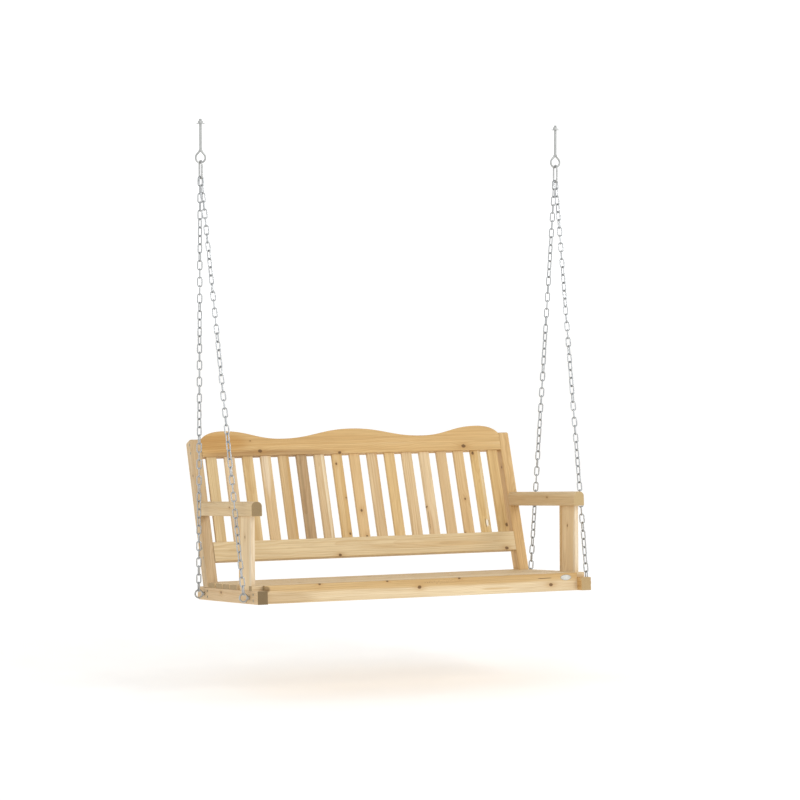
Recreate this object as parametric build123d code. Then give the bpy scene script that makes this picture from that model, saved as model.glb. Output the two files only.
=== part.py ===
"""Garden swing seat: a slatted timber bench on four chains, hung from two ceiling eye bolts.

Millimetres, +Z up, +Y to the rear, +X to the right as seen from the front.
The origin is midway between the two eye bolts, on the underside of the beam they hang from.

The bench is drawn in its own frame: X across, V rearward along the side rails and W up from
their undersides. It is then tilted back to the angle at which it hangs in balance.
The back is drawn in a leaning frame: X across, Q rearward and S up along the stiles.
"""
from build123d import *
import os
from math import asin, atan2, cos, degrees, pi, radians, sin, sqrt, tan

# Seat frame
inside_half = 600.0
frame_thick = 40.0
rail_tall = 47.0
rail_long = 655.0
rail_end_round = 14.0
edge_round = 4.0
slat_thick = 17.0
slat_deep = 70.0
slat_pitch = 80.0
first_slat_v = 56.0
last_slat_deep = 64.0
board_thick = 20.0
board_front_v = 34.0
tie_thick = 40.0
tie_front_v = 521.0
bearer_wide = 20.0

# Arms and their posts
arm_tall = 51.5
arm_low_w = 305.5
arm_front_v = 39.0
arm_top_round = 17.0
post_thick = 16.0
post_inside_x = 616.0
post_front_v = 87.0
post_deep = 129.0
post_leans_v = 14.0
tenon_long = 12.0
tenon_thick = 12.0
tenon_shoulder = 10.0

# Back
back_lean = 16.8
back_foot_v = 517.0
stile_deep = 54.0
stile_top_s = 543.0
stile_top_round = 9.0
back_rail_thick = 28.0
low_rail_s = (75.5, 148.7)
top_rail_low_s = 473.5
hump_top_s = 571.3
dip_s = 537.5
crest_end_s = 539.0
outer_hump_x = 509.0
dip_x = 282.0
back_slat_count = 17
back_slat_wide = 40.0
back_slat_thick = 14.0
back_slat_inset = 6.0
back_slat_round = 2.0
mortise_deep = 8.0

# Seat eye bolts
anchor_v = (82.0, 573.0)
anchor_w = 23.5
anchor_x = 662.0
seat_ring_r = 14.0
seat_wire_r = 3.0
seat_shank_r = 4.0
collar_r = 7.0

# Chains
link_wire_r = 2.25
link_inside = 30.1
link_bend_r = 7.75
links_per_chain = 50
twist_most = 24.0
twist_links = 11.0
twist_free_links = 4.0
link_gap = 0.1
ring_gap = 0.3
hook_gap = 0.55
hook_x = 696.5
hook_side_y = 5.4

# Snap hooks
hook_long = 70.0
hook_wire_r = 3.5
hook_bend_r = 14.0
gate_hinge_up = -11.0
gate_nose_up = 13.0
gate_pin_r = 1.25
gate_run = 0.05
gate_gap = 0.3
tongue_half = 1.0
slot_half = 1.3

# Ceiling eye bolts
eye_ring_r = 18.0
eye_wire_r = 3.5
eye_low_z = -48.1
eye_meet_z = -4.1
eye_collar_r = 7.0
stud_r = 5.0
stud_foot_z = -1.5
thread_r = 4.75
thread_foot_z = 88.0
beam_tall = 90.0
stud_top = 108.0

# Small hardware
ceiling_washer = (15.0, 5.3, 2.5)
ceiling_nut = (17.0, 8.4)
seat_washer = (10.0, 4.3, 2.0)
seat_nut = (13.0, 6.5)
slat_screw = (38.0, 2.0, 4.0)
frame_screw = (80.0, 2.75, 5.5)
label_size = (42.0, 20.0, 0.8)

wood_density = 600e-9
steel_density = 7850e-9

outside_half = inside_half + frame_thick
seat_top = rail_tall + slat_thick
arm_top_w = arm_low_w + arm_tall
lean = radians(back_lean)
sides = {"left": -1, "right": 1}
seat_slat_count = 7
chain_phase = {"front": 0.4, "rear": 2.6}
stile_lap_x = inside_half + frame_thick / 2


def block(x, v, w):
    """A square-edged piece between two limits on each axis."""
    spans = (x, v, w)
    middle = [(low + high) / 2 for low, high in spans]
    return Pos(*middle) * Box(*[high - low for low, high in spans])


def side_view(points, x):
    """A piece with a straight-sided V-W outline, between two values of X."""
    outline = Plane.YZ * Polygon(*points, align=None)
    return Pos(x[0], 0, 0) * extrude(outline, x[1] - x[0], dir=(1, 0, 0))


def for_side(piece, side):
    """The right-hand piece itself, or its mirror image for the left."""
    return piece if sides[side] > 0 else mirror(piece, Plane.YZ)


def both_sides(piece):
    return [for_side(piece, side) for side in sides]


def rod(start, end, radius):
    """A round bar between two points."""
    run = Vector(*end) - Vector(*start)
    foot = Plane(origin=start, z_dir=run)
    return foot.location * Cylinder(radius, run.length, align=(Align.CENTER, Align.CENTER, Align.MIN))


def screw_blank(length, shank_r, head_r):
    """A countersunk screw without its drive, head flush with Z = 0, pointing down."""
    head = head_r - shank_r
    tip = 2 * shank_r
    outline = Polyline(
        (0, 0), (head_r, 0), (shank_r, -head), (shank_r, tip - length), (0, -length), close=True
    )
    return revolve(Plane.XZ * make_face(outline), Axis.Z)


def screw(length, shank_r, head_r):
    """The same screw with a cross recess in its head."""
    recess = head_r * 0.6
    slot = Box(head_r * 1.2, head_r * 0.28, 2 * recess)
    return screw_blank(length, shank_r, head_r) - slot - Rot(0, 0, 90) * slot


def hex_nut(across_flats, thick, bore_r):
    """A nut standing on Z = 0."""
    hexagon = RegularPolygon(across_flats / 2, 6, major_radius=False)
    crown = Cone(across_flats / 2 + thick * 1.55, across_flats / 2 - 0.3, thick * 1.05,
                 align=(Align.CENTER, Align.CENTER, Align.MIN))
    return extrude(hexagon, thick) & crown - Pos(0, 0, thick / 2) * Cylinder(bore_r, 2 * thick)


def washer(outer_r, inner_r, thick):
    """A washer standing on Z = 0."""
    return extrude(Circle(outer_r) - Circle(inner_r), thick)


def torus_arc(ring_r, wire_r, start, sweep_angle):
    """Part of a ring about the Y axis, its angle counted in the XZ plane from +X towards +Z."""
    section = Pos(ring_r, 0, 0) * Circle(wire_r)
    return Rot(0, -start, 0) * revolve(section, Axis((0, 0, 0), (0, -1, 0)), sweep_angle)


# The leaning frame of the back, in the bench's frame. S = 0 lies where the front of the
# stiles passes just above the seat.
back_zero_w = seat_top + 3
back_zero_v = back_foot_v + back_zero_w * tan(lean)
back_place = Location((0, back_zero_v, back_zero_w), (-back_lean, 0, 0))


def stile_blank(x):
    """The stile before its foot is halved, between two values of X."""
    front_top = (back_foot_v + (stile_top_s + 80) * sin(lean), (stile_top_s + 80) * cos(lean))
    deep = stile_deep / cos(lean)
    whole = side_view(
        [(back_foot_v, 0), front_top, (front_top[0] + deep, front_top[1]), (back_foot_v + deep, 0)], x
    )
    return whole - back_place * block((x[0] - 1, x[1] + 1), (-90, 190), (stile_top_s, stile_top_s + 190))


def side_rail():
    """A side rail, with the inner half cut away where the stile's foot crosses it."""
    outline = block((inside_half, outside_half), (0, rail_long), (0, rail_tall))
    low_rear = outline.edges().filter_by(Axis.X).sort_by(lambda e: e.center().Z - e.center().Y)[0]
    shaped = fillet(low_rear, rail_end_round)
    rims = [e for face in (shaped.faces().sort_by(Axis.X)[0], shaped.faces().sort_by(Axis.X)[-1])
            for e in face.edges()]
    return fillet(rims, edge_round)


def stile():
    """A back stile, whose foot is halved on the outside to lap the side rail."""
    whole = stile_blank((inside_half, outside_half))
    top = whole.edges().filter_by(Axis.X).sort_by(Axis.Z)[-2:]
    whole = fillet(top, stile_top_round)
    long_edges = whole.edges().filter_by(lambda e: e.length > stile_top_s)
    whole = fillet(long_edges, edge_round)
    return whole - block((stile_lap_x, outside_half + 1), (400, 700), (-1, rail_tall))


def arm():
    """An arm rest with a rounded top, cut at the rear to fit the front of the stile."""
    section = block((inside_half, outside_half), (arm_front_v, 700), (arm_low_w, arm_top_w))
    long_edges = section.edges().filter_by(Axis.Y).sort_by(Axis.Z)
    section = fillet(long_edges[2:], arm_top_round)
    section = fillet(section.edges().filter_by(Axis.Y).sort_by(Axis.Z)[:2], edge_round)
    front = section.faces().sort_by(Axis.Y)[0]
    section = fillet(front.edges(), 3)
    behind = back_place * block((inside_half - 1, outside_half + 1), (0, 200), (0, stile_top_s))
    return section - behind


def arm_post():
    """A wide thin post, leaning a little forward, with a stub tenon at each end."""
    post_rear_v = post_front_v + post_deep
    x = (post_inside_x, post_inside_x + post_thick)
    low, high = rail_tall, arm_low_w
    outline = [(post_front_v, low), (post_rear_v, low),
               (post_rear_v - post_leans_v, high), (post_front_v - post_leans_v, high)]
    body = side_view(outline, x)
    body = fillet(body.edges().filter_by(lambda e: e.length > high - low - 1), 2.5)
    trim = (post_thick - tenon_thick) / 2
    tenon_x = (x[0] + trim, x[1] - trim)
    tenon_v = (post_front_v + tenon_shoulder, post_rear_v - tenon_shoulder)
    foot = block(tenon_x, tenon_v, (low - tenon_long, low))
    head = block(tenon_x, tenon_v, (high, high + tenon_long))
    return body + foot + Pos(0, -post_leans_v, 0) * head


def seat_slat(number):
    """One seat slat. The first six lie on the rails, and the last fits between the stiles."""
    front = first_slat_v + (number - 1) * slat_pitch
    last = number == seat_slat_count
    half = inside_half if last else outside_half
    deep = last_slat_deep if last else slat_deep
    slat = block((-half, half), (front, front + deep), (rail_tall, seat_top))
    slat = fillet(slat.edges().filter_by(Axis.X).sort_by(Axis.Z)[-2:], edge_round)
    if last:
        return slat
    slat = fillet(slat.edges().filter_by(Axis.Z), 1.5)
    rear = post_front_v + post_deep
    if front < rear and front + deep > post_front_v:
        notch = block((post_inside_x, outside_half + 1), (post_front_v - 1, rear), (rail_tall - 1, seat_top + 1))
        for cut in both_sides(notch):
            slat -= cut
    return slat


def top_back_rail():
    """The top rail: a straight underside, and a top edge with three humps."""
    crest = [(-inside_half, crest_end_s), (-outer_hump_x, hump_top_s), (-dip_x, dip_s), (0, hump_top_s),
             (dip_x, dip_s), (outer_hump_x, hump_top_s), (inside_half, crest_end_s)]
    level = [(1, 0)] * 5
    fullness = [0.9] + [1.3] * 5 + [0.9]
    curve = Spline(*crest, tangents=[(0.75, 1), *level, (0.75, -1)], tangent_scalars=fullness)
    ends = Polyline(crest[-1], (inside_half, top_rail_low_s), (-inside_half, top_rail_low_s), crest[0])
    face = Plane.XZ * make_face([curve, ends])
    rail = extrude(face, back_rail_thick, dir=(0, 1, 0))
    crest_edges = rail.edges().filter_by(lambda e: e.center().Z > top_rail_low_s + 40 and e.length > 300)
    return fillet(crest_edges, edge_round)


def low_back_rail():
    rail = block((-inside_half, inside_half), (0, back_rail_thick), low_rail_s)
    return fillet(rail.edges().filter_by(Axis.X), edge_round)


def seat_eye():
    """The right-hand seat eye bolt at V = 0: ring, collar and shank in one forging."""
    ring = Pos(anchor_x, 0, anchor_w) * torus_arc(seat_ring_r, seat_wire_r, 0, 360)
    edge = anchor_x - seat_ring_r
    collar = rod((outside_half, 0, anchor_w), (edge, 0, anchor_w), collar_r)
    collar = fillet(collar.edges().sort_by(Axis.X)[-1], 1.5)
    shank_end = inside_half - seat_washer[2] - seat_nut[1] - 5
    shank = rod((shank_end, 0, anchor_w), (outside_half, 0, anchor_w), seat_shank_r)
    return ring + collar + shank


def ceiling_eye():
    """A ceiling eye at X = 0: a pear-shaped loop of bent bar, a collar, and a stud threaded at its top."""
    centre_z = eye_low_z + eye_ring_r
    touch = asin(eye_ring_r / (eye_meet_z - centre_z))
    touch_x = eye_ring_r * cos(touch)
    touch_z = centre_z + eye_ring_r * sin(touch)
    touch_angle = degrees(touch)
    bend = torus_arc(eye_ring_r, eye_wire_r, 180 - touch_angle, 180 + 2 * touch_angle)
    ring = Pos(0, 0, centre_z) * bend
    eye = ring + Pos(0, 0, eye_meet_z) * Sphere(eye_wire_r)
    for side in sides.values():
        eye += rod((side * touch_x, 0, touch_z), (0, 0, eye_meet_z), eye_wire_r)
    eye += rod((0, 0, eye_meet_z - 2), (0, 0, stud_foot_z), eye_collar_r)
    eye += rod((0, 0, stud_foot_z), (0, 0, thread_foot_z), stud_r)
    return eye + rod((0, 0, thread_foot_z), (0, 0, stud_top), thread_r)


# Snap hook, drawn about its own middle in the YZ plane.
hook_straight = hook_long - 2 * hook_wire_r - 2 * hook_bend_r
hook_mid_z = eye_low_z + eye_wire_r + ring_gap + hook_wire_r - hook_bend_r - hook_straight / 2
hook_foot_z = hook_mid_z - hook_bend_r - hook_straight / 2
gate_y = -hook_bend_r


def snap_hook():
    """The bent wire body, open on the front for the gate, with a tongue at each end of the gap."""
    half = hook_straight / 2
    shoulder = gate_hinge_up - hook_wire_r - gate_gap
    bend = Rot(0, 0, 90) * torus_arc(hook_bend_r, hook_wire_r, 0, 180)
    body = Pos(0, 0, half) * bend + Pos(0, 0, -half) * Rot(180, 0, 0) * bend
    body += rod((0, hook_bend_r, -half), (0, hook_bend_r, half), hook_wire_r)
    body += rod((0, gate_y, -half), (0, gate_y, shoulder), hook_wire_r)
    body += rod((0, gate_y, gate_nose_up), (0, gate_y, half), hook_wire_r)
    tongue_x = (-tongue_half, tongue_half)
    hinge_r = hook_wire_r - 0.9
    body += block(tongue_x, (gate_y - hinge_r, gate_y + hinge_r), (shoulder - 1, gate_hinge_up))
    body += rod((-tongue_half, gate_y, gate_hinge_up), (tongue_half, gate_y, gate_hinge_up), hinge_r)
    body += block(tongue_x, (gate_y - 2.2, gate_y + 2.2), (gate_nose_up - 4.5, gate_nose_up + 1))
    return body - gate_pin(gate_pin_r)


def gate_pin(radius):
    reach = hook_wire_r - 0.2
    return rod((-reach, gate_y, gate_hinge_up), (reach, gate_y, gate_hinge_up), radius)


def gate():
    """The sprung gate: a rod slotted over the tongue at each end, hinged at the lower one."""
    body = rod((0, gate_y, gate_hinge_up), (0, gate_y, gate_nose_up - gate_gap), hook_wire_r)
    body += Pos(0, gate_y, gate_hinge_up) * Sphere(hook_wire_r)
    slot_x = (-slot_half, slot_half)
    slot_y = (gate_y - 4, gate_y + 4)
    body -= block(slot_x, slot_y, (gate_hinge_up - 4, gate_hinge_up + 3.2))
    body -= block(slot_x, slot_y, (gate_nose_up - 5.1, gate_nose_up))
    bore = rod((-4, gate_y, gate_hinge_up), (4, gate_y, gate_hinge_up), gate_pin_r + gate_run)
    return body - bore


def chain_link():
    """One welded link, centred, its length along Z and its width along X."""
    half = link_inside / 2 + link_wire_r - link_bend_r
    bend = Pos(0, 0, half) * torus_arc(link_bend_r, link_wire_r, 0, 180)
    leg = rod((link_bend_r, 0, -half), (link_bend_r, 0, half), link_wire_r)
    return bend + Rot(0, 180, 0) * bend + leg + Rot(0, 180, 0) * leg


def twist_at(count, phase):
    """How far a link is turned about the chain's line, in degrees. The chain is square at its ends."""
    ease = min(1, count / twist_free_links, (links_per_chain - 1 - count) / twist_free_links)
    return ease * twist_most * sin(2 * pi * count / twist_links + phase)


def chain(top, foot, phase):
    """Links from the snap hook's wire centre at the top to the seat ring's wire centre below."""
    run = Vector(*foot) - Vector(*top)
    down = run.normalized()
    across = (Vector(1, 0, 0) - down * down.X).normalized()
    first = -hook_wire_r - hook_gap
    last = run.length + seat_wire_r + ring_gap
    pitch = (last - first - link_inside) / (links_per_chain - 1)
    link = chain_link()
    links = []
    for count in range(links_per_chain):
        centre = Vector(*top) + down * (first + link_inside / 2 + count * pitch)
        turn_angle = twist_at(count, phase) + 90 * (count % 2)
        links.append(Plane(origin=centre, x_dir=across, z_dir=-down).location * Rot(0, 0, turn_angle) * link)
    return links


def joined_at(points, blank, outward):
    """Copies of a screw with their heads at some points, facing outward."""
    return [Plane(origin=point, z_dir=outward).location * blank for point in points]


def screw_places():
    """Head centres of the slat screws, in the bench's frame."""
    places = []
    for number in range(1, seat_slat_count):
        middle = first_slat_v + (number - 1) * slat_pitch + slat_deep / 2
        places += [(x, middle + v, seat_top) for x in (-608, 0, 608) for v in (-20, 20)]
    return places + [(x, tie_front_v + tie_thick - 11, seat_top) for x in (-560, -190, 190, 560)]


def frame_screw_places():
    """Head centres of the right-hand frame screws that point inward, in the bench's frame."""
    board_v = board_front_v + board_thick / 2
    tie_v = tie_front_v + tie_thick / 2
    places = [(outside_half, v, w) for v in (board_v, tie_v) for w in (13, 34)]
    mid_q = back_rail_thick / 2
    for low, high in (low_rail_s, (top_rail_low_s, stile_top_s)):
        for s in (low + 19, high - 19):
            spot = back_place * Location((outside_half, mid_q, s))
            places.append(tuple(spot.position))
    return places


def build_bench():
    """Every piece of the bench in its own frame, by name. A list is a set of separate pieces."""
    rails = side_rail() - stile_blank((inside_half - 1, stile_lap_x))
    right = {"side_rail": rails, "back_stile": stile(), "arm": arm(), "arm_post": arm_post()}
    right["side_rail"] -= right["arm_post"]
    right["arm"] -= right["arm_post"]
    board_x = (-inside_half, inside_half)
    board_rear = board_front_v + board_thick
    front_board = block(board_x, (board_front_v, board_rear), (0, seat_top))
    tie = block(board_x, (tie_front_v, tie_front_v + tie_thick), (0, rail_tall))
    bearer = block((-bearer_wide / 2, bearer_wide / 2), (board_rear, tie_front_v), (0, rail_tall))
    bench = {
        "front_board": fillet(front_board.edges().filter_by(Axis.X), 3),
        "rear_seat_rail": fillet(tie.edges().filter_by(Axis.X).sort_by(Axis.Z)[:2], 3),
        "centre_bearer": bearer,
    }
    for number in range(1, seat_slat_count + 1):
        bench[f"seat_slat_{number}"] = seat_slat(number)

    low_rail, top_rail = low_back_rail(), top_back_rail()
    recess = back_slat_inset
    slat_ends = (low_rail_s[1] - mortise_deep, top_rail_low_s + mortise_deep)
    half = back_slat_wide / 2
    blank = block((-half, half), (recess, recess + back_slat_thick), slat_ends)
    shaped = fillet(blank.edges().filter_by(Axis.Z), back_slat_round)
    for number in range(1, back_slat_count + 1):
        x = (number - (back_slat_count + 1) / 2) * 2 * inside_half / back_slat_count
        low_rail -= Pos(x, 0, 0) * blank
        top_rail -= Pos(x, 0, 0) * blank
        bench[f"back_slat_{number:02d}"] = back_place * Pos(x, 0, 0) * shaped
    bench["low_back_rail"] = back_place * low_rail
    bench["top_back_rail"] = back_place * top_rail

    for side in sides:
        for name, piece in right.items():
            bench[f"{name}_{side}"] = for_side(piece, side)
        for place, v in zip(("front", "rear"), anchor_v):
            bench[f"seat_eye_{place}_{side}"] = for_side(Pos(0, v, 0) * seat_eye(), side)

    inward = (-1, 0, 0)
    face_x = inside_half
    washers, nuts = [], []
    for v in anchor_v:
        on_rail = Plane(origin=(face_x, v, anchor_w), z_dir=inward)
        washers += both_sides(on_rail.location * washer(*seat_washer))
        seat_on = Plane(origin=(face_x - seat_washer[2], v, anchor_w), z_dir=inward)
        nuts += both_sides(seat_on.location * hex_nut(*seat_nut, seat_shank_r))
    bench["seat_eye_washers"], bench["seat_eye_nuts"] = washers, nuts

    label_w = seat_top - 16
    disc = extrude(Ellipse(label_size[0] / 2, label_size[1] / 2), label_size[2])
    bench["label_plate"] = Plane(
        origin=(inside_half - 45, board_front_v, label_w), x_dir=(1, 0, 0), z_dir=(0, -1, 0)
    ).location * disc

    bench["slat_screws"] = joined_at(screw_places(), screw(*slat_screw), (0, 0, 1))
    frame_screws = joined_at(frame_screw_places(), screw(*frame_screw), (1, 0, 0))
    bench["frame_screws"] = [copy for piece in frame_screws for copy in both_sides(piece)]
    drill_holes(bench)
    return bench


def drill_holes(bench):
    """Cut the screws and eye bolts out of the timber they pass through."""
    slat_holes = joined_at(screw_places(), screw_blank(*slat_screw), (0, 0, 1))
    frame_holes = joined_at(frame_screw_places(), screw_blank(*frame_screw), (1, 0, 0))
    frame_holes += [mirror(hole, Plane.YZ) for hole in frame_holes]
    bolt_holes = [rod((s * 590, v, anchor_w), (s * outside_half, v, anchor_w), seat_shank_r)
                  for s in sides.values() for v in anchor_v]
    timber = [name for name in bench if is_timber(name) and not name.startswith("back_slat")]
    for name in timber:
        for hole in slat_holes + frame_holes + bolt_holes:
            if boxes_meet(bench[name].bounding_box(), hole.bounding_box()):
                bench[name] = bench[name] - hole


def boxes_meet(one, other):
    low, high = zip(one.min, one.max), zip(other.min, other.max)
    return all(a[0] < b[1] and b[0] < a[1] for a, b in zip(low, high))


def is_timber(name):
    words = ("rail", "board", "bearer", "slat_", "stile", "arm")
    return any(word in name for word in words) and "screws" not in name


def solids_of(piece):
    return piece if isinstance(piece, list) else [piece]


# The bench hangs level from side to side, and leans back until its weight is under the hooks.
bench = build_bench()
ring_top_w = anchor_w + seat_ring_r
mid_v = sum(anchor_v) / 2
chain_run = links_per_chain * (link_inside - link_gap) - hook_wire_r - seat_wire_r - hook_gap - ring_gap
splay_x = hook_x - anchor_x
splay_v = (anchor_v[1] - anchor_v[0]) / 2 - hook_side_y
apex_w = ring_top_w + sqrt(chain_run**2 - splay_x**2 - splay_v**2)

weights = []
for name, piece in bench.items():
    density = wood_density if is_timber(name) else steel_density
    for solid in solids_of(piece):
        weights.append((solid.volume * density, solid.center(CenterOf.MASS)))
link_mass = chain_link().volume * steel_density
chain_middle = Vector(0, mid_v, (ring_top_w + apex_w) / 2)
weights.append((4 * links_per_chain * link_mass, chain_middle))
hung_mass = sum(mass for mass, _ in weights)
centre = sum((spot * mass for mass, spot in weights), Vector(0, 0, 0)) * (1 / hung_mass)
tilt = degrees(atan2(centre.Y - mid_v, apex_w - centre.Z))

# The chains' tops sit a little up the curve of the hook, one each side of its lowest point.
side_rise = hook_bend_r - sqrt(hook_bend_r**2 - hook_side_y**2)
chain_top_z = hook_foot_z + side_rise
turn = Location((0, 0, 0), (-tilt, 0, 0))
apex = (turn * Location((0, mid_v, apex_w))).position
seat_place = Location((0, -apex.Y, chain_top_z - apex.Z), (-tilt, 0, 0))


def place_chain(x_side, place):
    v = anchor_v[0] if place == "front" else anchor_v[1]
    foot = (seat_place * Location((x_side * anchor_x, v, ring_top_w))).position
    top = (x_side * hook_x, -hook_side_y if place == "front" else hook_side_y, chain_top_z)
    phase = chain_phase[place] + (0 if x_side > 0 else pi / 2)
    return chain(top, tuple(foot), phase)


def build_hangers():
    """The chains, snap hooks and ceiling eye bolts, where they hang."""
    parts = {}
    for side, s in sides.items():
        hung = Pos(s * hook_x, 0, hook_mid_z)
        parts[f"ceiling_eye_{side}"] = Pos(s * hook_x, 0, 0) * ceiling_eye()
        parts[f"snap_hook_{side}"] = hung * snap_hook()
        parts[f"hook_gate_{side}"] = hung * gate()
        parts[f"gate_pin_{side}"] = hung * gate_pin(gate_pin_r)
        for place in ("front", "rear"):
            parts[f"chain_{place}_{side}"] = place_chain(s, place)
    on_beam = [Pos(s * hook_x, 0, beam_tall) for s in sides.values()]
    parts["ceiling_washers"] = [spot * washer(*ceiling_washer) for spot in on_beam]
    nut_up = Pos(0, 0, ceiling_washer[2])
    parts["ceiling_nuts"] = [spot * nut_up * hex_nut(*ceiling_nut, thread_r) for spot in on_beam]
    return parts


def export_parts():
    os.makedirs("parts", exist_ok=True)
    placed = {}
    for name, piece in bench.items():
        placed[name] = [seat_place * solid for solid in solids_of(piece)]
    for name, piece in build_hangers().items():
        placed[name] = solids_of(piece)
    for name, pieces in placed.items():
        whole = pieces[0] if len(pieces) == 1 else Compound(children=pieces)
        whole.label = name
        export_step(whole, f"parts/{name}.step")
    return placed


export_parts()
print("tilt", round(tilt, 3), "mass", round(hung_mass, 2), "apex", round(apex_w, 2))
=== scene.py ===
import math
import random

import bmesh
import bpy
import numpy as np
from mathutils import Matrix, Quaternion, Vector


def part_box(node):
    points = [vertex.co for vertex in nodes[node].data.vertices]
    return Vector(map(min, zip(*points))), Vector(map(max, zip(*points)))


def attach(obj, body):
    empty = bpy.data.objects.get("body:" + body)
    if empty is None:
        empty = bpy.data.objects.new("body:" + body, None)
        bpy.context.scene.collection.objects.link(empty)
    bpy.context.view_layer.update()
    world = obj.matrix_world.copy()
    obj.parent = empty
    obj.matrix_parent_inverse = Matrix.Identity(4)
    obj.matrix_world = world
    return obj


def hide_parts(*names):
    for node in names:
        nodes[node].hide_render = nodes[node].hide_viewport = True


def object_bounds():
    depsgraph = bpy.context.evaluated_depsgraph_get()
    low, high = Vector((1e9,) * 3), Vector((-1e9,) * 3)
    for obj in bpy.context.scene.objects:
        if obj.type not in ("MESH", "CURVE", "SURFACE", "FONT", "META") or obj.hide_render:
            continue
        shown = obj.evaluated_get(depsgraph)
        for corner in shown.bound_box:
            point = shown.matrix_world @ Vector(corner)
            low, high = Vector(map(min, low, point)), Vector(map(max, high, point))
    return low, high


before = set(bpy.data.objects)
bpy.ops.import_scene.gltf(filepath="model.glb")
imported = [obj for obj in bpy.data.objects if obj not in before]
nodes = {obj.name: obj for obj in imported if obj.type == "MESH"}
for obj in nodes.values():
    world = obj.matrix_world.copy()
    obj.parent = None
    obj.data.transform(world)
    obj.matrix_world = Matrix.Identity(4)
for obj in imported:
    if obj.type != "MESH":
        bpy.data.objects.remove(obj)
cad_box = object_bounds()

MM = 0.001
# e to three places, the base of the knots' bell curves.
BELL_BASE = 2.718
# What picked pine tones are multiplied by, because the boards light each other warmly.
COOL_GREEN, COOL_BLUE = 1.03, 1.12
# How far a knot reaches into its board.
KNOT_DEPTH = 16 * MM
SEAT_SLATS = 7


# ---------------------------------------------------------------- colours and shader helpers

def shade(hex_colour):
    """An sRGB hex colour as linear RGBA."""
    channels = [int(hex_colour[i:i + 2], 16) / 255 for i in (0, 2, 4)]
    linear = [c / 12.92 if c <= 0.04045 else ((c + 0.055) / 1.055) ** 2.4 for c in channels]
    return (*linear, 1.0)


def pine_shade(hex_colour):
    """A picked pine tone, cooled a little because the boards light each other warmly."""
    red, green, blue, alpha = shade(hex_colour)
    return (red, green * COOL_GREEN, min(1.0, blue * COOL_BLUE), alpha)


def feed(tree, node, ins):
    """A node with its inputs filled. ins maps input names or places to sockets to link or values to set."""
    for key, value in ins.items():
        if isinstance(value, bpy.types.NodeSocket):
            tree.links.new(value, node.inputs[key])
        else:
            node.inputs[key].default_value = value
    return node


def add(tree, kind, ins=None, **settings):
    """A new shader node, with its settings made before its inputs are filled."""
    node = tree.nodes.new("ShaderNode" + kind)
    for name, value in settings.items():
        setattr(node, name, value)
    return feed(tree, node, ins or {})


def add_group(tree, group, ins):
    """A node group put to use in a tree."""
    node = tree.nodes.new("ShaderNodeGroup")
    node.node_tree = group
    return feed(tree, node, ins)


def calc(tree, operation, *values, clamp=False):
    """A Math node's result."""
    return add(tree, "Math", dict(enumerate(values)), operation=operation, use_clamp=clamp).outputs[0]


def vector(tree, operation, first, second):
    """A Vector Math node's vector result."""
    return add(tree, "VectorMath", {0: first, 1: second}, operation=operation).outputs[0]


def centred(tree, value, amount):
    """A noise from 0 to 1, made to vary by half an amount either side of 0."""
    return calc(tree, "MULTIPLY", calc(tree, "SUBTRACT", value, 0.5), amount)


def blend_colour(tree, amount, first, second, mode="MIX"):
    """Two colours mixed by an amount from 0 to 1."""
    node = add(tree, "Mix", {0: amount, 6: first, 7: second}, data_type="RGBA", blend_type=mode)
    return node.outputs[2]


def span(tree, value, low, high, to_low=0.0, to_high=1.0, smooth=True):
    """value carried from one range to another, held at both ends."""
    kind = "SMOOTHSTEP" if smooth else "LINEAR"
    node = add(tree, "MapRange", {0: value, 1: low, 2: high, 3: to_low, 4: to_high}, interpolation_type=kind)
    return node.outputs[0]


def noise(tree, place, scale, detail=2.0, rough=0.5, warp=0.0):
    """A noise texture's value, from 0 to 1."""
    ins = {"Vector": place, "Scale": scale, "Detail": detail, "Roughness": rough, "Distortion": warp}
    return add(tree, "TexNoise", ins).outputs[0]


def stretch(tree, place, factors):
    """A place scaled by a different factor along each axis."""
    return vector(tree, "MULTIPLY", place, factors)


def new_group(name, inputs, outputs):
    """An empty node group with typed sockets, and its input and output nodes."""
    group = bpy.data.node_groups.new(name, "ShaderNodeTree")
    for label, kind in inputs:
        group.interface.new_socket(label, in_out="INPUT", socket_type="NodeSocket" + kind)
    for label, kind in outputs:
        group.interface.new_socket(label, in_out="OUTPUT", socket_type="NodeSocket" + kind)
    return group, group.nodes.new("NodeGroupInput"), group.nodes.new("NodeGroupOutput")


# ---------------------------------------------------------------- pine

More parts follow.
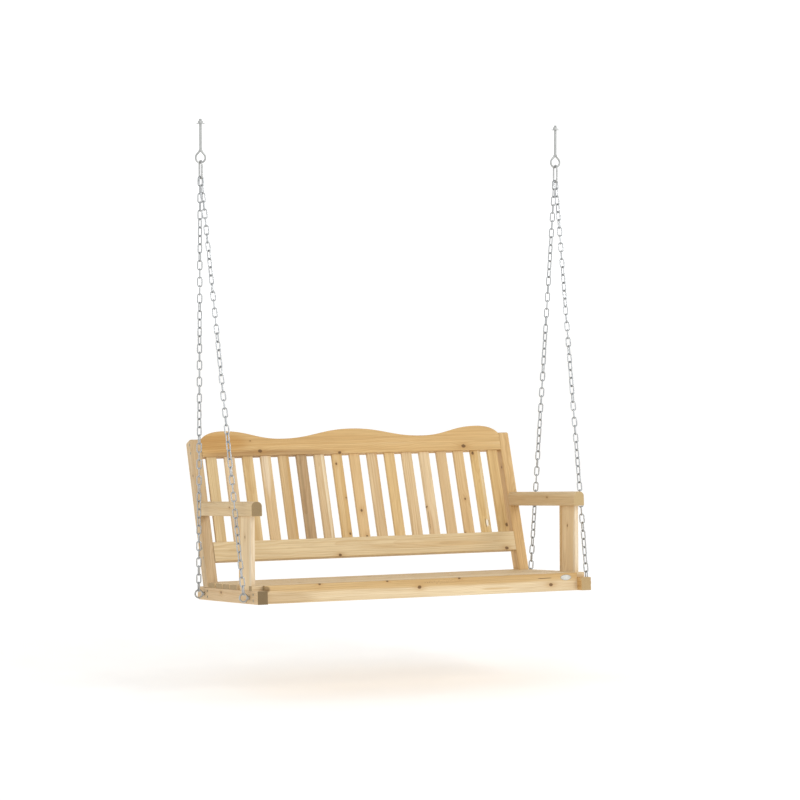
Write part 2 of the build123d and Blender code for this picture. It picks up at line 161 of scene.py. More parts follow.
def knot_group():
    """One knot in a board's face: how far it pushes the growth rings aside, and its dark core and halo."""
    group, given, out = new_group(
        "knot", [("Place", "Vector"), ("Centre", "Vector"), ("Radius", "Float"), ("Depth", "Float")],
        [("Push", "Float"), ("Core", "Float"), ("Halo", "Float")])
    offset = vector(group, "SUBTRACT", given.outputs["Place"], given.outputs["Centre"])
    wobble = noise(group, given.outputs["Place"], 160.0, 2.0)
    apart = add(group, "SeparateXYZ", {0: offset})
    radius = given.outputs["Radius"]
    along = calc(group, "DIVIDE", apart.outputs[0], radius)
    across = calc(group, "DIVIDE", apart.outputs[1], radius)
    deep = calc(group, "DIVIDE", apart.outputs[2], given.outputs["Depth"])
    deep_sq = calc(group, "MULTIPLY", deep, deep)

    def reach(stretch_along, stretch_across):
        """The squared distance from the knot's middle, in radii of a stretched oval."""
        a = calc(group, "DIVIDE", along, stretch_along)
        c = calc(group, "DIVIDE", across, stretch_across)
        total = calc(group, "ADD", calc(group, "MULTIPLY", a, a), calc(group, "MULTIPLY", c, c))
        return calc(group, "ADD", total, deep_sq)

    near = calc(group, "ADD", reach(1.15, 0.9), centred(group, wobble, 0.9))
    core = span(group, near, 1.25, 0.55)
    halo = calc(group, "POWER", BELL_BASE, calc(group, "MULTIPLY", reach(3.4, 1.7), -1.0))
    push = calc(group, "POWER", BELL_BASE, calc(group, "MULTIPLY", reach(5.0, 2.0), -1.0))
    for label, value in (("Push", calc(group, "MULTIPLY", push, radius)), ("Core", core), ("Halo", halo)):
        group.links.new(value, out.inputs[label])
    return group


def pine_group():
    """Planed pine. Place is in metres: X along the grain, Y across the board, Z through it."""
    group, given, out = new_group(
        "pine",
        [("Place", "Vector"), ("Seed", "Float"), ("Pith", "Vector"), ("Early", "Color"), ("Late", "Color"),
         ("Stain", "Color"), ("Push", "Float"), ("Core", "Float"), ("Halo", "Float"), ("End", "Float"),
         ("Ring", "Float"), ("Streaks", "Float"), ("Split", "Float"), ("End Tone", "Color"),
         ("End Dark", "Color"), ("Taper", "Float"), ("Figure", "Float")],
        [("Colour", "Color"), ("Roughness", "Float"), ("Height", "Float")])
    seed_shift = add(group, "CombineXYZ", {0: given.outputs["Seed"], 1: given.outputs["Seed"], 2: 0.37})
    place = vector(group, "ADD", given.outputs["Place"], seed_shift.outputs[0])

    # The tree's middle wanders a little along the board, so the rings run out as pointed arches.
    wander = noise(group, stretch(group, place, (1.7, 0.4, 0.4)), 1.6, 1.0)
    bend = noise(group, stretch(group, place, (9.0, 5.0, 5.0)), 1.0, 2.0)
    from_pith = vector(group, "SUBTRACT", given.outputs["Place"], given.outputs["Pith"])
    part = add(group, "SeparateXYZ", {0: from_pith})
    swing_y = calc(group, "MULTIPLY_ADD", calc(group, "SUBTRACT", wander, 0.5), 0.05, part.outputs[1])
    swing_z = calc(group, "MULTIPLY_ADD", part.outputs[0], given.outputs["Taper"], part.outputs[2])
    radius = calc(group, "SQRT", calc(group, "ADD", calc(group, "MULTIPLY", swing_y, swing_y),
                                      calc(group, "MULTIPLY", swing_z, swing_z)))
    radius = calc(group, "ADD", radius, centred(group, bend, 0.011))
    radius = calc(group, "ADD", radius, given.outputs["Push"])
    phase = calc(group, "FRACT", calc(group, "DIVIDE", radius, given.outputs["Ring"]))
    rise = span(group, phase, 0.30, 0.86)
    fall = span(group, phase, 0.90, 1.0, 1.0, 0.0)
    ring = calc(group, "MULTIPLY", rise, fall)
    year = calc(group, "FLOOR", calc(group, "DIVIDE", radius, given.outputs["Ring"]))
    year_tone = add(group, "TexWhiteNoise", {"W": year}, noise_dimensions="1D").outputs[0]

    fibre = noise(group, stretch(group, place, (6.0, 260.0, 260.0)), 1.0, 3.0, 0.6)
    streak = noise(group, stretch(group, place, (1.2, 26.0, 26.0)), 1.0, 3.0, 0.6, 0.4)
    line = noise(group, stretch(group, place, (1.0, 150.0, 150.0)), 1.0, 1.0, 0.5, 0.2)
    cloud = noise(group, stretch(group, place, (3.0, 9.0, 9.0)), 1.0, 2.0)
    pores = noise(group, stretch(group, place, (60.0, 900.0, 900.0)), 1.0, 2.0)

    year_amount = calc(group, "MULTIPLY_ADD", year_tone, 0.35, 0.25)
    year_amount = calc(group, "MULTIPLY", year_amount, given.outputs["Figure"])
    ring_amount = calc(group, "MULTIPLY", ring, year_amount, clamp=True)
    colour = blend_colour(group, ring_amount, given.outputs["Early"], given.outputs["Late"])
    streak_amount = calc(group, "MULTIPLY", span(group, streak, 0.42, 0.70), given.outputs["Streaks"])
    colour = blend_colour(group, streak_amount, colour, given.outputs["Late"])
    colour = blend_colour(group, span(group, line, 0.60, 0.72, 0.0, 0.62), colour, given.outputs["Late"])
    pale = calc(group, "MULTIPLY", span(group, streak, 0.46, 0.25), 0.32)
    colour = blend_colour(group, pale, colour, shade("F2DDB4"))
    colour = blend_colour(group, calc(group, "MULTIPLY", span(group, cloud, 0.45, 0.75), 0.30), colour,
                          given.outputs["Stain"])
    fibre_amount = span(group, fibre, 0.35, 0.75, 0.0, 0.22)
    colour = blend_colour(group, fibre_amount, colour, shade("9C845F"), "MULTIPLY")

    def lay(key, strength, tone):
        """The colour so far, with a tone laid over it where one of the given masks is."""
        return blend_colour(group, calc(group, "MULTIPLY", given.outputs[key], strength), colour, tone)

    # End grain soaks up dirt and looks darker and greyer; the End Tone and End Dark given for the left ends
    # also carry painted shadow.
    fleck = noise(group, stretch(group, place, (900.0, 900.0, 900.0)), 1.0, 1.0)
    end_amount = calc(group, "MULTIPLY_ADD", ring, 0.45, span(group, fleck, 0.4, 0.7, 0.0, 0.4))
    end_tone = blend_colour(group, end_amount, given.outputs["End Tone"], given.outputs["End Dark"])
    colour = lay("End", 0.85, end_tone)

    # Knots, their orange halo, and fine drying splits.
    colour = lay("Halo", 0.55, shade("B58A50"))
    knot_ring = calc(group, "FRACT", calc(group, "MULTIPLY", given.outputs["Halo"], 9.0))
    knot_amount = span(group, knot_ring, 0.2, 0.8, 0.0, 0.5)
    knot_colour = blend_colour(group, knot_amount, shade("72502C"), shade("3E2813"))
    colour = lay("Core", 0.85, knot_colour)
    colour = lay("Split", 0.85, shade("4A3018"))
    group.links.new(colour, out.inputs["Colour"])

    rough = calc(group, "MULTIPLY_ADD", ring, -0.08, 0.62)
    rough = calc(group, "ADD", rough, centred(group, fibre, 0.16))
    rough = calc(group, "ADD", rough, calc(group, "MULTIPLY", given.outputs["End"], 0.16))
    group.links.new(rough, out.inputs["Roughness"])

    height = calc(group, "MULTIPLY", ring, 0.55)
    height = calc(group, "MULTIPLY_ADD", fibre, 0.5, height)
    height = calc(group, "MULTIPLY_ADD", pores, 0.25, height)
    height = calc(group, "MULTIPLY_ADD", given.outputs["Core"], -0.5, height)
    height = calc(group, "MULTIPLY_ADD", given.outputs["Split"], -2.5, height)
    group.links.new(height, out.inputs["Height"])
    return group


def bump(tree, height, distance, strength=1.0):
    """A Bump node's normal. distance is the depth in metres of a height of 1."""
    node = add(tree, "Bump", {"Strength": strength, "Distance": distance, "Height": height})
    return node.outputs[0]


def new_material(name):
    """A material with an empty tree but for its Principled shader and output."""
    material = bpy.data.materials.new(name)
    material.use_nodes = True
    tree = material.node_tree
    tree.nodes.clear()
    shader = tree.nodes.new("ShaderNodeBsdfPrincipled")
    out = tree.nodes.new("ShaderNodeOutputMaterial")
    tree.links.new(shader.outputs[0], out.inputs[0])
    return material, tree, shader


def board_frame(obj):
    """A board's own directions (along the grain, across, through) and its middle, from its mesh."""
    mesh = obj.data
    count = len(mesh.polygons)
    normals, areas = np.empty(count * 3), np.empty(count)
    mesh.polygons.foreach_get("normal", normals)
    mesh.polygons.foreach_get("area", areas)
    normals = normals.reshape(-1, 3)
    spread = (normals * areas[:, None]).T @ normals
    axes = np.linalg.eigh(spread)[1].T
    axes = [axis * np.sign(axis[np.argmax(np.abs(axis))]) for axis in axes]
    corners = np.empty(len(mesh.vertices) * 3)
    mesh.vertices.foreach_get("co", corners)
    reach = corners.reshape(-1, 3) @ np.array(axes).T
    middle = (reach.min(0) + reach.max(0)) / 2
    half = (reach.max(0) - reach.min(0)) / 2
    return [Vector(axis) for axis in axes], middle, half


def board_place(tree, axes, middle):
    """Shader coordinates in a board's own directions, in metres from its middle."""
    coords = add(tree, "TexCoord")
    parts = []
    for axis, centre in zip(axes, middle):
        along = add(tree, "VectorMath", {0: coords.outputs["Object"], 1: axis}, operation="DOT_PRODUCT")
        parts.append(calc(tree, "SUBTRACT", along.outputs["Value"], float(centre)))
    place = add(tree, "CombineXYZ", dict(enumerate(parts))).outputs[0]
    facing = add(tree, "VectorMath", {0: coords.outputs["Normal"], 1: axes[0]}, operation="DOT_PRODUCT")
    end = span(tree, calc(tree, "ABSOLUTE", facing.outputs["Value"]), 0.72, 0.86)
    return place, end


def patch_mask(tree, place, centre, reach, ragged):
    """1 inside a soft-edged oval on the board's face, in millimetres, and 0 away from it."""
    apart = add(tree, "SeparateXYZ", {0: place})
    total = 0.0
    for socket, spot, size in zip(apart.outputs[:2], centre, reach):
        off = calc(tree, "DIVIDE", calc(tree, "SUBTRACT", socket, spot * MM), size * MM)
        total = calc(tree, "ADD", calc(tree, "MULTIPLY", off, off), total)
    grain = noise(tree, stretch(tree, place, (4.0, 60.0, 60.0)), 1.0, 2.0)
    total = calc(tree, "MULTIPLY_ADD", calc(tree, "SUBTRACT", grain, 0.5), ragged, total)
    return span(tree, total, 1.45, 0.35)


def split_mask(tree, place, start, end, across, wide):
    """A fine drying split along the grain, in millimetres."""
    apart = add(tree, "SeparateXYZ", {0: place})
    waver = noise(tree, stretch(tree, place, (40.0, 1.0, 1.0)), 1.0, 2.0)
    line = calc(tree, "MULTIPLY_ADD", calc(tree, "SUBTRACT", waver, 0.5), 0.003, apart.outputs[1])
    off = calc(tree, "ABSOLUTE", calc(tree, "SUBTRACT", line, across * MM))
    middle, half = (start + end) / 2 * MM, (end - start) / 2 * MM
    reach = calc(tree, "ABSOLUTE", calc(tree, "SUBTRACT", apart.outputs[0], middle))
    within = span(tree, reach, half, half * 0.6)
    thin = calc(tree, "SUBTRACT", calc(tree, "MULTIPLY", within, wide * MM), off)
    return span(tree, thin, -0.0002, 0.0002)


KNOT = knot_group()
PINE = pine_group()


def pine(node, base, knots=(), patches=(), splits=(), pith=(12.0, 70.0), ring=3.4, streaks=0.35,
         face=-1, late=(0.81, 0.72, 0.60), stain=(0.94, 0.89, 0.82), end_tones=("A88F68", "75603F"),
         taper=0.02, figure=1.15, flecks=()):
    """The pine of one board. Lengths are in millimetres on its face, from its middle.

    knots: (along, across, radius). patches: (along, across, reach along, reach across, colour, amount).
    splits: (start, end, across, width). pith: how far the tree's middle lies across and behind the face.
    flecks: (along, across, reach along, reach across) of a scatter of small dark specks.
    face: the side, -1 or 1 along the board's thickness, that knots and pith are placed from.
    late, stain: what the board's colour is multiplied by in late wood and in stained places.
    """
    obj = nodes[node]
    material, tree, shader = new_material("pine_" + node)
    axes, middle, half = board_frame(obj)
    place, end = board_place(tree, axes, middle)
    draw = random.Random(node)
    early = pine_shade(base)
    for along, across, reach_along, reach_across, colour, amount in patches:
        mask = patch_mask(tree, place, (along, across), (reach_along, reach_across), 0.8)
        early = blend_colour(tree, calc(tree, "MULTIPLY", mask, amount), early, pine_shade(colour))
    for along, across, reach_along, reach_across in flecks:
        mask = patch_mask(tree, place, (along, across), (reach_along, reach_across), 0.8)
        specks = span(tree, noise(tree, stretch(tree, place, (0.3, 1.0, 1.0)), 620.0, 3.0), 0.60, 0.68)
        early = blend_colour(tree, calc(tree, "MULTIPLY", mask, specks), early, shade("6A4A28"))
    late_colour = blend_colour(tree, 1.0, early, (*late, 1.0), "MULTIPLY")
    stain_colour = blend_colour(tree, 1.0, early, (*stain, 1.0), "MULTIPLY")

    sums = {"Push": 0.0, "Core": 0.0, "Halo": 0.0}
    for along, across, radius in knots:
        centre = (along * MM, across * MM, face * float(half[2]))
        knot_ins = {"Place": place, "Centre": centre, "Radius": radius * MM, "Depth": KNOT_DEPTH}
        knot = add_group(tree, KNOT, knot_ins)
        for key in sums:
            sums[key] = calc(tree, "ADD", knot.outputs[key], sums[key])
    split = 0.0
    for start, stop, across, wide in splits:
        split = calc(tree, "MAXIMUM", split_mask(tree, place, start, stop, across, wide), split)

    group = add_group(tree, PINE, {
        "Place": place, "Seed": draw.uniform(-9, 9),
        "Pith": (0.0, pith[0] * MM, -face * pith[1] * MM + face * float(half[2])),
        "Early": early, "Late": late_colour, "Stain": stain_colour, "End": end, "Ring": ring * MM,
        "Streaks": streaks, "Split": split, "End Tone": shade(end_tones[0]), "End Dark": shade(end_tones[1]),
        "Taper": taper, "Figure": figure, **sums,
    })
    tree.links.new(group.outputs["Colour"], shader.inputs["Base Color"])
    tree.links.new(group.outputs["Roughness"], shader.inputs["Roughness"])
    tree.links.new(bump(tree, group.outputs["Height"], 0.0004, 0.8), shader.inputs["Normal"])
    shader.inputs["Specular IOR Level"].default_value = 0.32
    assign(obj, material)


def assign(obj, material):
    """Put one material in every slot of an object."""
    if not obj.data.materials:
        obj.data.materials.append(material)
    for place in range(len(obj.data.materials)):
        obj.data.materials[place] = material


# ---------------------------------------------------------------- the boards

# The back slats by number: their tones, and knots, patches and splits as pine() takes them.
SLAT_TONES = {
    1: "DCC08C", 2: "E0C498", 3: "D8B880", 4: "DDBE8C", 5: "D6B682", 6: "BC9C70", 7: "DABD8E", 8: "D8B478",
    9: "DFBD86", 10: "DABC8C", 11: "DDBB80", 12: "DFC292", 13: "E7CDA0", 14: "DDBE8C", 15: "DFBE88",
    16: "E0BE80", 17: "DBB87C",
}
SLAT_KNOTS = {
    8: [(124, -7, 4.5), (-9, 14, 3), (-148, 11, 4.5)],
    9: [(-60, -2, 5), (-161, 6, 4.5)],
    13: [(-54, -19, 3)],
    15: [(-28, 0, 4), (-161, -18, 3)],
    16: [(152, -12, 6)],
    17: [(-135, 14, 6.5)],
}
SLAT_PATCHES = {
    7: [(0, 10, 300, 5, "F0DDB6", 0.8)],
    4: [(120, -4, 120, 14, "EAD6B4", 0.7)],
    5: [(0, 14, 300, 7, "C79F60", 0.7)],
    6: [(0, -8, 300, 5, "9F8259", 0.6)],
    10: [(60, 16, 220, 6, "CFA870", 0.6)],
    16: [(-125, 6, 15, 5, "F7EEDA", 1.0), (30, 12, 200, 5, "EDD8AE", 0.6)],
    13: [(-140, -10, 80, 8, "C99F66", 0.5)],
}
SLAT_SPLITS = {
    13: [(-150, -60, -17, 0.6)],
    16: [(-146, -104, -1, 1.0), (-136, -112, 13, 0.8)],
}


def finish_boards():
    """Pine for every board. Marks on faces in view follow the photograph, and the others are invented."""
    # On the top rail the dark band along the lower edge (B18A56) is partly a darker streak in the grain and
    # partly painted shade.
    pine("top_back_rail", "D9B478", ring=5.2, pith=(-70, 60), streaks=0.5,
         knots=[(-374, -32, 7.5), (-60, -45, 6), (446, -32, 8), (-408, 8, 2.5)],
         patches=[(-540, 0, 120, 40, "C69753", 0.8), (-330, -44, 260, 16, "B18A56", 0.85),
                  (120, 30, 200, 14, "DDBB80", 0.6)])
    pine("low_back_rail", "E3CA9A", ring=7.0, pith=(4, 24), streaks=0.2, taper=0.034, figure=1.0,
         knots=[(-113, -31, 6), (562, -29, 7)],
         patches=[(230, -2, 280, 12, "D3B078", 0.6)])
    pine("front_board", "E6CFA4", ring=5.0, pith=(60, 44), streaks=0.55,
         knots=[(-396, 30, 4.5), (-141, 30, 4), (-18, 4, 7), (136, 30, 4.5), (495, -8, 7)],
         patches=[(100, 24, 1000, 22, "D0AD74", 0.95), (-595, 18, 14, 12, "7E623C", 0.85),
                  (-540, -16, 120, 26, "CDB184", 0.7), (500, -18, 150, 20, "D9C096", 0.7),
                  (284, -13, 60, 4, "C9A46C", 0.6)],
         flecks=[(45, 19, 46, 6), (105, 25, 50, 6)],
         splits=[(440, 502, 16, 1.0)])
    pine("rear_seat_rail", "DCC08E", knots=[(210, 4, 6), (-330, -8, 5)])
    pine("centre_bearer", "D9BB86", knots=[(40, 6, 5)])
    for number in range(1, SEAT_SLATS + 1):
        draw = random.Random(f"seat slat {number}")
        knots = [(draw.uniform(-560, 560), draw.uniform(-26, 26), draw.uniform(3.5, 7)) for _ in range(3)]
        base = draw.choice(["DDC396", "E2CA9F", "D8BC8B", "E5CFA6"])
        darker = (draw.uniform(-400, 400), draw.uniform(-20, 20), 260, 16, "CFAF7C", 0.5)
        pine(f"seat_slat_{number}", base, knots=knots, face=1, ring=draw.uniform(3.6, 5.4),
             pith=(draw.uniform(-50, 50), draw.uniform(20, 60)), patches=[darker])
    for number, base in SLAT_TONES.items():
        draw = random.Random(f"back slat {number}")
        pine(f"back_slat_{number:02d}", base, knots=SLAT_KNOTS.get(number, ()),
             patches=SLAT_PATCHES.get(number, ()), splits=SLAT_SPLITS.get(number, ()),
             pith=(draw.uniform(-34, 34), draw.uniform(14, 60)),
             ring=draw.uniform(3.2, 5.4), streaks=draw.uniform(0.25, 0.6))
    # The left side rail's end tones are darker than the right's: painted shadow, laid over end grain's own
    # darker tone.
    shaded_left_end, right_end = ("6F5D40", "4C3D27"), ("BBA278", "8E7854")
    for side, end_tones in (("left", shaded_left_end), ("right", right_end)):
        left = side == "left"
        pine(f"side_rail_{side}", "D6B88A" if left else "CFA566", pith=(30, 40), end_tones=end_tones,
             knots=[(60, 8, 6), (-210, -10, 5)])
        # The left arm's darker end tones are painted shadow too, laid over end grain's own darker tone.
        pine(f"arm_{side}", "D8BC8C", pith=(-40, 34), knots=[(-60, 6, 4)],
             end_tones=("927B56", "63523A") if left else ("C2A97C", "9A8258"))
        # The pale band along each arm post's front edge (EAD8B8) is painted light falling on the front.
        pine(f"arm_post_{side}", "E8CD9E", pith=(20, 50), ring=4.8, knots=[(57, -2, 4.5)],
             patches=[(0, 58, 200, 18, "CBA56C", 0.7), (0, -62, 200, 10, "EAD8B8", 0.8)])
        pine(f"back_stile_{side}", "CFB286" if left else "DBB67C", pith=(20, 36),
             knots=[(-90, 6, 5), (170, -12, 4.5)])


# ---------------------------------------------------------------- metal

def steel(name, base, dark, rough, mottle=300.0, scratch=0.25):
    """Zinc-plated steel: mottled plating, dull grime in patches and fine scratches."""
    material, tree, shader = new_material(name)
    place = add(tree, "TexCoord").outputs["Object"]
    cloud = noise(tree, place, mottle, 3.0, 0.6)
    grime = noise(tree, place, mottle * 0.35, 4.0, 0.65)
    cells = add(tree, "TexVoronoi", {"Vector": place, "Scale": mottle * 1.6})
    flake = cells.outputs["Distance"]
    spangle = add(tree, "SeparateColor", {0: cells.outputs["Color"]}).outputs[0]
    fine = noise(tree, stretch(tree, place, (1.0, 1.0, 7.0)), mottle * 9, 2.0)
    tone = calc(tree, "MULTIPLY_ADD", spangle, 0.45, span(tree, cloud, 0.3, 0.7, 0.0, 0.55))
    colour = blend_colour(tree, tone, shade(base), shade(dark))
    colour = blend_colour(tree, span(tree, grime, 0.56, 0.76, 0.0, 0.4), colour, shade("645F55"))
    tree.links.new(colour, shader.inputs["Base Color"])
    rough_now = calc(tree, "MULTIPLY_ADD", calc(tree, "SUBTRACT", spangle, 0.5), 0.12, rough)
    rough_now = calc(tree, "ADD", rough_now, span(tree, grime, 0.55, 0.72, 0.0, 0.2))
    rough_now = calc(tree, "MULTIPLY_ADD", calc(tree, "SUBTRACT", fine, 0.5), scratch, rough_now, clamp=True)
    tree.links.new(rough_now, shader.inputs["Roughness"])
    height = calc(tree, "MULTIPLY_ADD", flake, 0.4, calc(tree, "MULTIPLY", fine, 0.5))
    tree.links.new(bump(tree, height, 0.00012, 0.6), shader.inputs["Normal"])
    shader.inputs["Metallic"].default_value = 1.0
    return material


def finish_metal():
    """Zinc and steel for every metal node, then the small metal pieces that CAD leaves out."""
    chain = steel("chain_zinc", "BFC1C2", "A2A5A7", 0.26)
    bolt = steel("bolt_zinc", "BBBDBC", "9FA09E", 0.30, 260.0)
    hook = steel("hook_steel", "C2C3C3", "AAABA9", 0.20, 240.0)
    screw = steel("screw_zinc", "B8B29C", "948C74", 0.34, 500.0)
    for name, obj in nodes.items():
        if name.startswith("chain_"):
            assign(obj, chain)
        elif name.startswith(("snap_hook", "hook_gate", "gate_pin")):
            assign(obj, hook)
        elif name.startswith(("ceiling_", "seat_eye")):
            assign(obj, bolt)
        elif name.endswith("_screws"):
            assign(obj, screw)
    build_welds(chain)
    build_stud_threads(bolt)
    build_label()


# ---------------------------------------------------------------- small metal pieces

def mesh_object(name, shape, material, body):
    """A piece from a bmesh, smooth-shaded, riding on a body."""
    mesh = bpy.data.meshes.new(name)
    bmesh.ops.recalc_face_normals(shape, faces=shape.faces)
    shape.to_mesh(mesh)
    shape.free()
    mesh.materials.append(material)
    for polygon in mesh.polygons:
        polygon.use_smooth = True
    piece = bpy.data.objects.new(name, mesh)
    bpy.context.scene.collection.objects.link(piece)
    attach(piece, body)
    return piece


def skin_rings(shape, rings, close_start=True, close_end=True):
    """Faces between successive rings of points, with the ends closed."""
    loops = [[shape.verts.new(point) for point in ring] for ring in rings]
    count = len(loops[0])
    for near, far in zip(loops, loops[1:]):
        for spot in range(count):
            after = (spot + 1) % count
            shape.faces.new((near[spot], near[after], far[after], far[spot]))
    if close_start:
        shape.faces.new(loops[0][::-1])
    if close_end:
        shape.faces.new(loops[-1])


def mesh_points(obj):
    """An object's vertices, one to a row."""
    points = np.empty(len(obj.data.vertices) * 3)
    obj.data.vertices.foreach_get("co", points)
    return points.reshape(-1, 3)


def separate_parts(obj):
    """The points of each separate solid in a node's mesh."""
    points = mesh_points(obj)
    _, place = np.unique(np.round(points, 6), axis=0, return_inverse=True)
    place = place.ravel()
    owner = np.arange(place.max() + 1)

    def head(index):
        """The vertex that stands for the solid this one belongs to, as far as is known."""
        while owner[index] != index:
            owner[index] = owner[owner[index]]
            index = owner[index]
        return index

    for edge in obj.data.edges:
        one, other = head(place[edge.vertices[0]]), head(place[edge.vertices[1]])
        owner[one] = other
    groups = {}
    for index, spot in enumerate(place):
        groups.setdefault(head(spot), []).append(index)
    return [points[indices] for indices in groups.values()]


def link_axes(points):
    """A link's middle, and its directions with the half size along each: thickness, width, length."""
    middle = (points.min(0) + points.max(0)) / 2
    for _ in range(2):
        axes = np.linalg.eigh(np.cov((points - middle).T))[1].T
        reach = (points - middle) @ axes.T
        middle = middle + ((reach.max(0) + reach.min(0)) / 2) @ axes
    halves = (reach.max(0) - reach.min(0)) / 2
    return middle, axes, halves


def build_welds(material):
    """The small uneven bead half way down one leg of each chain link, where the wire was welded."""
    bead_half, bead_proud = 3.2 * MM, 0.42 * MM
    sunk, unevenness = 0.06 * MM, 0.05
    sides, steps = 14, 9
    for name in [name for name in nodes if name.startswith("chain_")]:
        draw = random.Random(name)
        shape = bmesh.new()
        for points in separate_parts(nodes[name]):
            middle, (thick_axis, wide_axis, long_axis), halves = link_axes(points)
            wire = halves[0]
            centre = middle + wide_axis * (halves[1] - wire)
            rings = []
            for step in np.linspace(-1, 1, steps):
                radius = wire - sunk + bead_proud * math.cos(step * math.pi / 2) ** 0.7
                ring = []
                for corner in range(sides):
                    angle = 2 * math.pi * corner / sides
                    rough = radius + draw.uniform(-unevenness, unevenness) * MM
                    out = (wide_axis * math.cos(angle) + thick_axis * math.sin(angle)) * rough
                    ring.append(centre + long_axis * bead_half * step + out)
                rings.append(ring)
            skin_rings(shape, rings)
        body = "left_chains" if name.endswith("left") else "right_chains"
        mesh_object(name.replace("chain", "weld_beads"), shape, material, body)


def build_stud_threads(material):
    """The rolled thread on the top of each ceiling stud, above and below its nut."""
    washer_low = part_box("ceiling_washers")[0][2]
    pitch, crest, root = 1.5 * MM, 4.98 * MM, 4.5 * MM
    crest_start, crest_end, root_end = 0.42, 0.54, 0.96
    per_turn = 24
    for side in ("left", "right"):
        low, high = (Vector(corner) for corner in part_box(f"ceiling_eye_{side}"))
        centre_x, centre_y = (low.x + high.x) / 2, (low.y + high.y) / 2
        start, end = washer_low - 1.6 * MM, high.z - 0.8 * MM
        turns = (end - start - pitch) / pitch
        shape = bmesh.new()
        profile = []
        for step in range(int(turns * per_turn) + 1):
            angle = 2 * math.pi * step / per_turn
            foot = start + pitch * step / per_turn
            out = Vector((math.cos(angle), math.sin(angle), 0))
            middle = Vector((centre_x, centre_y, 0))
            profile.append([middle + out * root + Vector((0, 0, foot)),
                            middle + out * crest + Vector((0, 0, foot + pitch * crest_start)),
                            middle + out * crest + Vector((0, 0, foot + pitch * crest_end)),
                            middle + out * root + Vector((0, 0, foot + pitch * root_end))])
        skin_rings(shape, profile)
        mesh_object(f"stud_thread_{side}", shape, material, "hangers")


def build_label():
    """The blank oval plate on the front board: a pale enamelled face inside a bright raised rim."""
    plate = nodes["label_plate"]
    axes, middle, half = board_frame(plate)
    across, up = axes[:2] if abs(axes[0].x) > 0.9 else (axes[1], axes[0])
    wide = max(half[0], half[1])
    tall = min(half[0], half[1])
    out = -axes[2]
    centre = sum((axis * float(value) for axis, value in zip(axes, middle)), Vector()) - out * half[2]
    sides = 96

    def oval(inset, proud):
        """A ring of points, drawn in from the plate's edge and raised from its back."""
        ring = []
        for corner in range(sides):
            angle = 2 * math.pi * corner / sides
            flat = across * (wide - inset) * math.cos(angle) + up * (tall - inset) * math.sin(angle)
            ring.append(centre + flat + out * proud)
        return ring

    thick = 2 * half[2]
    rim = bmesh.new()
    rim_steps = [(0, 0), (0, 0.55), (0.12, 0.85), (0.4, 1.0), (0.9, 1.0), (1.25, 0.85), (1.4, 0.6), (1.4, 0)]
    skin_rings(rim, [oval(inset * MM, proud * thick) for inset, proud in rim_steps], False, False)
    face = bmesh.new()
    face_steps = [(1.3, 0), (1.3, 0.62), (2.4, 0.66), (4.5, 0.72), (7.0, 0.76), (9.0, 0.78)]
    skin_rings(face, [oval(inset * MM, proud * thick) for inset, proud in face_steps])
    bright = steel("label_rim", "B4B4B0", "8E8E8A", 0.3, 200.0)
    rim_piece = mesh_object("label_rim", rim, bright, "bench")
    enamel, tree, shader = new_material("label_enamel")
    place = add(tree, "TexCoord").outputs["Object"]
    tone = span(tree, noise(tree, place, 90.0, 4.0, 0.6), 0.35, 0.7)
    tree.links.new(blend_colour(tree, tone, shade("D2D1CA"), shade("BFBDB3")), shader.inputs["Base Color"])
    grain = noise(tree, place, 1400.0, 2.0)
    tree.links.new(span(tree, grain, 0.3, 0.7, 0.34, 0.5), shader.inputs["Roughness"])
    tree.links.new(bump(tree, grain, 0.00005, 0.5), shader.inputs["Normal"])
    face_piece = mesh_object("label_face", face, enamel, "bench")
    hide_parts("label_plate")
    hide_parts("label_plate")


# ---------------------------------------------------------------- studio

FLOOR_CLEARANCE, FLOOR_RADIUS = 0.30, 60.0
SKY_LEVEL, SKY_OVERHEAD = 1.19, 0.80
KEY_OFFSET = (2.6, -5.0, 2.8)
KEY_SIZE, KEY_POWER = 1.8, 75.0
# The camera in metres, degrees and millimetres, from a fit to straight edges in the photograph.
CAMERA_PLACE = (-4.1444, -10.2774, -0.4155)
CAMERA_YAW, CAMERA_PITCH, CAMERA_ROLL = 22.2975, 2.530, -0.0245
CAMERA_LENS, CAMERA_SENSOR = 136.454, 36.0


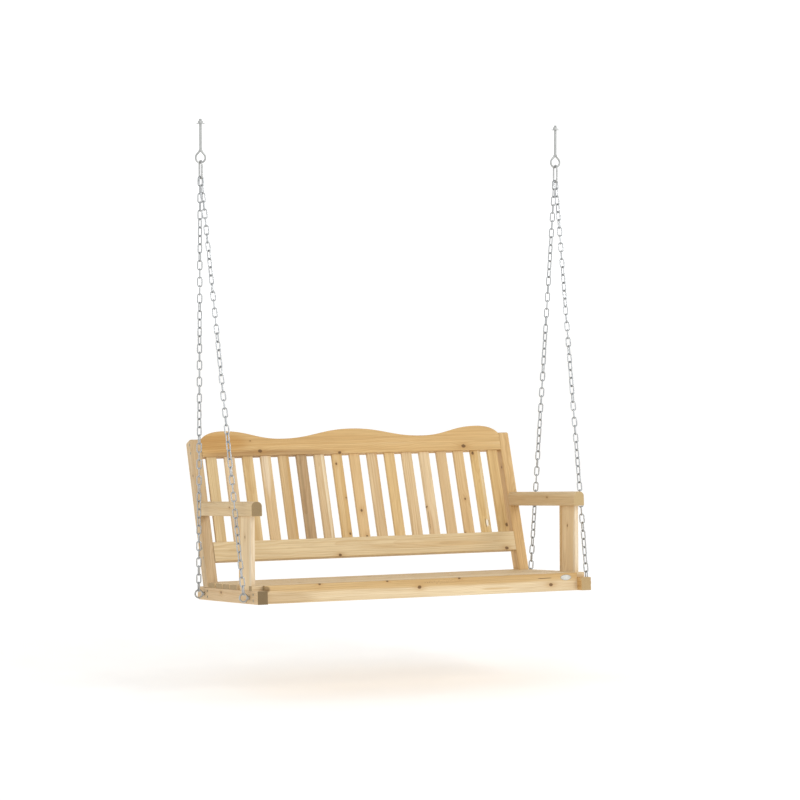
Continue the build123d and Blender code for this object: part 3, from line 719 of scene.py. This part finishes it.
def build_floor():
    """A wide pale disc under the swing."""
    ground = cad_box[0][2] - FLOOR_CLEARANCE
    mesh = bpy.data.meshes.new("studio_floor")
    shape = bmesh.new()
    bmesh.ops.create_circle(shape, cap_ends=True, segments=128, radius=FLOOR_RADIUS)
    bmesh.ops.translate(shape, verts=shape.verts, vec=(0, 0, ground))
    shape.to_mesh(mesh)
    shape.free()
    floor = bpy.data.objects.new("studio_floor", mesh)
    bpy.context.scene.collection.objects.link(floor)
    material, tree, shader = new_material("studio_floor")
    place = add(tree, "TexCoord").outputs["Object"]
    tone = span(tree, noise(tree, place, 6.0, 3.0), 0.3, 0.7)
    colour = blend_colour(tree, tone, shade("F7F6F4"), shade("F3F2F0"))
    tree.links.new(colour, shader.inputs["Base Color"])
    shader.inputs["Roughness"].default_value = 0.9
    shader.inputs["Emission Color"].default_value = (1.0, 1.0, 1.0, 1.0)
    shader.inputs["Emission Strength"].default_value = 0.20
    mesh.materials.append(material)


def area_light(name, place, aim, size, power):
    """A round white lamp, aimed at a point."""
    data = bpy.data.lights.new(name, "AREA")
    data.shape = "DISK"
    data.size = size
    data.energy = power
    light = bpy.data.objects.new(name, data)
    light.location = place
    light.rotation_euler = (Vector(aim) - Vector(place)).to_track_quat("-Z", "Y").to_euler()
    bpy.context.scene.collection.objects.link(light)


def build_studio():
    """White light from all round, weaker overhead, with one lamp from the front right."""
    world = bpy.data.worlds.new("studio")
    world.use_nodes = True
    tree = world.node_tree
    sky = tree.nodes["Background"]
    upward = add(tree, "SeparateXYZ", {0: add(tree, "TexCoord").outputs["Generated"]}).outputs[2]
    dimming = span(tree, upward, 0.18, 0.75, SKY_LEVEL, SKY_OVERHEAD)
    tree.links.new(dimming, sky.inputs["Strength"])
    sky.inputs["Color"].default_value = (1.0, 1.0, 1.0, 1.0)
    bpy.context.scene.world = world
    middle = (Vector(cad_box[0]) + Vector(cad_box[1])) / 2
    area_light("key", middle + Vector(KEY_OFFSET), middle, KEY_SIZE, KEY_POWER)
    bpy.context.scene.view_settings.view_transform = "Standard"
    bpy.context.scene.view_settings.exposure = 0.0


def build_camera():
    """The photograph's view: from the front left at eye height, looking slightly down."""
    data = bpy.data.cameras.new("camera")
    data.sensor_width = CAMERA_SENSOR
    data.lens = CAMERA_LENS
    data.clip_end = 200.0
    camera = bpy.data.objects.new("camera", data)
    camera.location = CAMERA_PLACE
    yaw, pitch, roll = (math.radians(angle) for angle in (CAMERA_YAW, CAMERA_PITCH, CAMERA_ROLL))
    forward = Vector((math.sin(yaw) * math.cos(pitch), math.cos(yaw) * math.cos(pitch), -math.sin(pitch)))
    camera.rotation_mode = "QUATERNION"
    camera.rotation_quaternion = forward.to_track_quat("-Z", "Y") @ Quaternion((0, 0, 1), roll)
    bpy.context.scene.collection.objects.link(camera)
    bpy.context.scene.camera = camera


finish_boards()
finish_metal()
build_floor()
build_studio()
build_camera()
